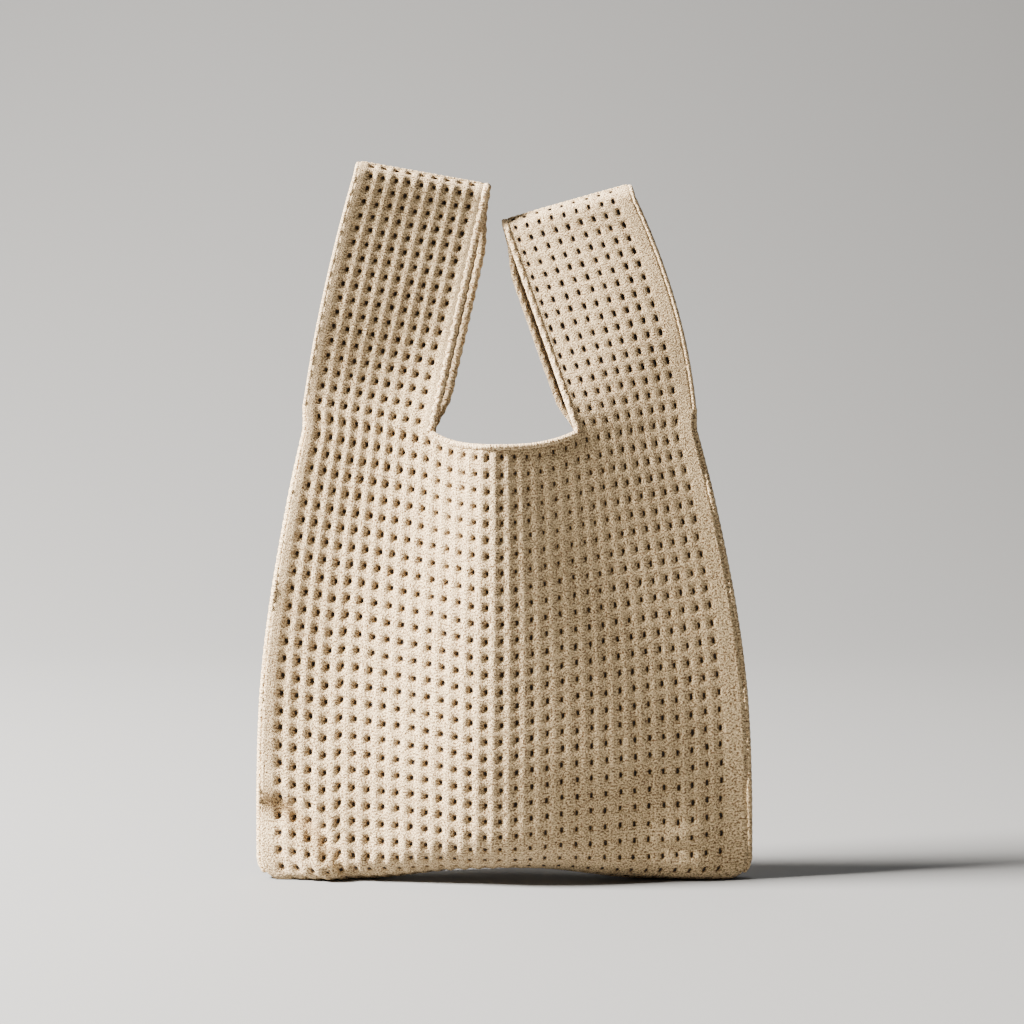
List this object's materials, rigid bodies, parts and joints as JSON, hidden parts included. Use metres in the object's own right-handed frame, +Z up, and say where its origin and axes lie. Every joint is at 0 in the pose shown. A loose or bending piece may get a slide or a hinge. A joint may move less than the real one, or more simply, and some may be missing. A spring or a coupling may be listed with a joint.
{
  "type": "mesh produce bag",
  "caption": "Knitted cotton mesh carrier bag with a vest-shaped body, a wide mouth and broad looped straps that fold over, used to carry and store fruit and vegetables.",
  "frame": {"origin": "middle of the base, on the surface that the bag stands on", "axes": "+Z up, +X to the right of the bag seen from the front, -Y out of the front panel"},
  "size_m": [0.3299, 0.0806, 0.4772],
  "materials": {
    "mesh_knit": "matt cotton eyelet knit",
    "plain_knit": "matt cotton plain knit",
    "edging_cord": "matt twisted cotton"
  },
  "bodies": {
    "bag_body": {"front_panel": "mesh_knit", "back_panel": "mesh_knit", "left_side_seam": "plain_knit", "right_side_seam": "plain_knit", "base_seam": "plain_knit", "front_mouth_edging": "edging_cord", "back_mouth_edging": "edging_cord", "left_strap_fold": "mesh_knit", "right_strap_fold": "mesh_knit"},
    "left_handle": {"left_strap_front": "mesh_knit", "left_strap_back": "mesh_knit", "left_strap_inner_edging": "edging_cord", "left_strap_outer_edging": "edging_cord", "left_shoulder_seam": "plain_knit"},
    "right_handle": {"right_strap_front": "mesh_knit", "right_strap_back": "mesh_knit", "right_strap_inner_edging": "edging_cord", "right_strap_outer_edging": "edging_cord", "right_shoulder_seam": "plain_knit"}
  },
  "joints": [
    {"name": "left_handle_fold", "type": "hinge", "parent": "bag_body", "child": "left_handle", "pos_m": [-0.0915, 0, 0.318], "axis": [1, 0, 0], "range_deg": [-70, 70], "deforming": ["left_strap_fold"]},
    {"name": "right_handle_fold", "type": "hinge", "parent": "bag_body", "child": "right_handle", "pos_m": [0.0885, 0, 0.317], "axis": [1, 0, 0], "range_deg": [-70, 70], "deforming": ["right_strap_fold"]}
  ]
}
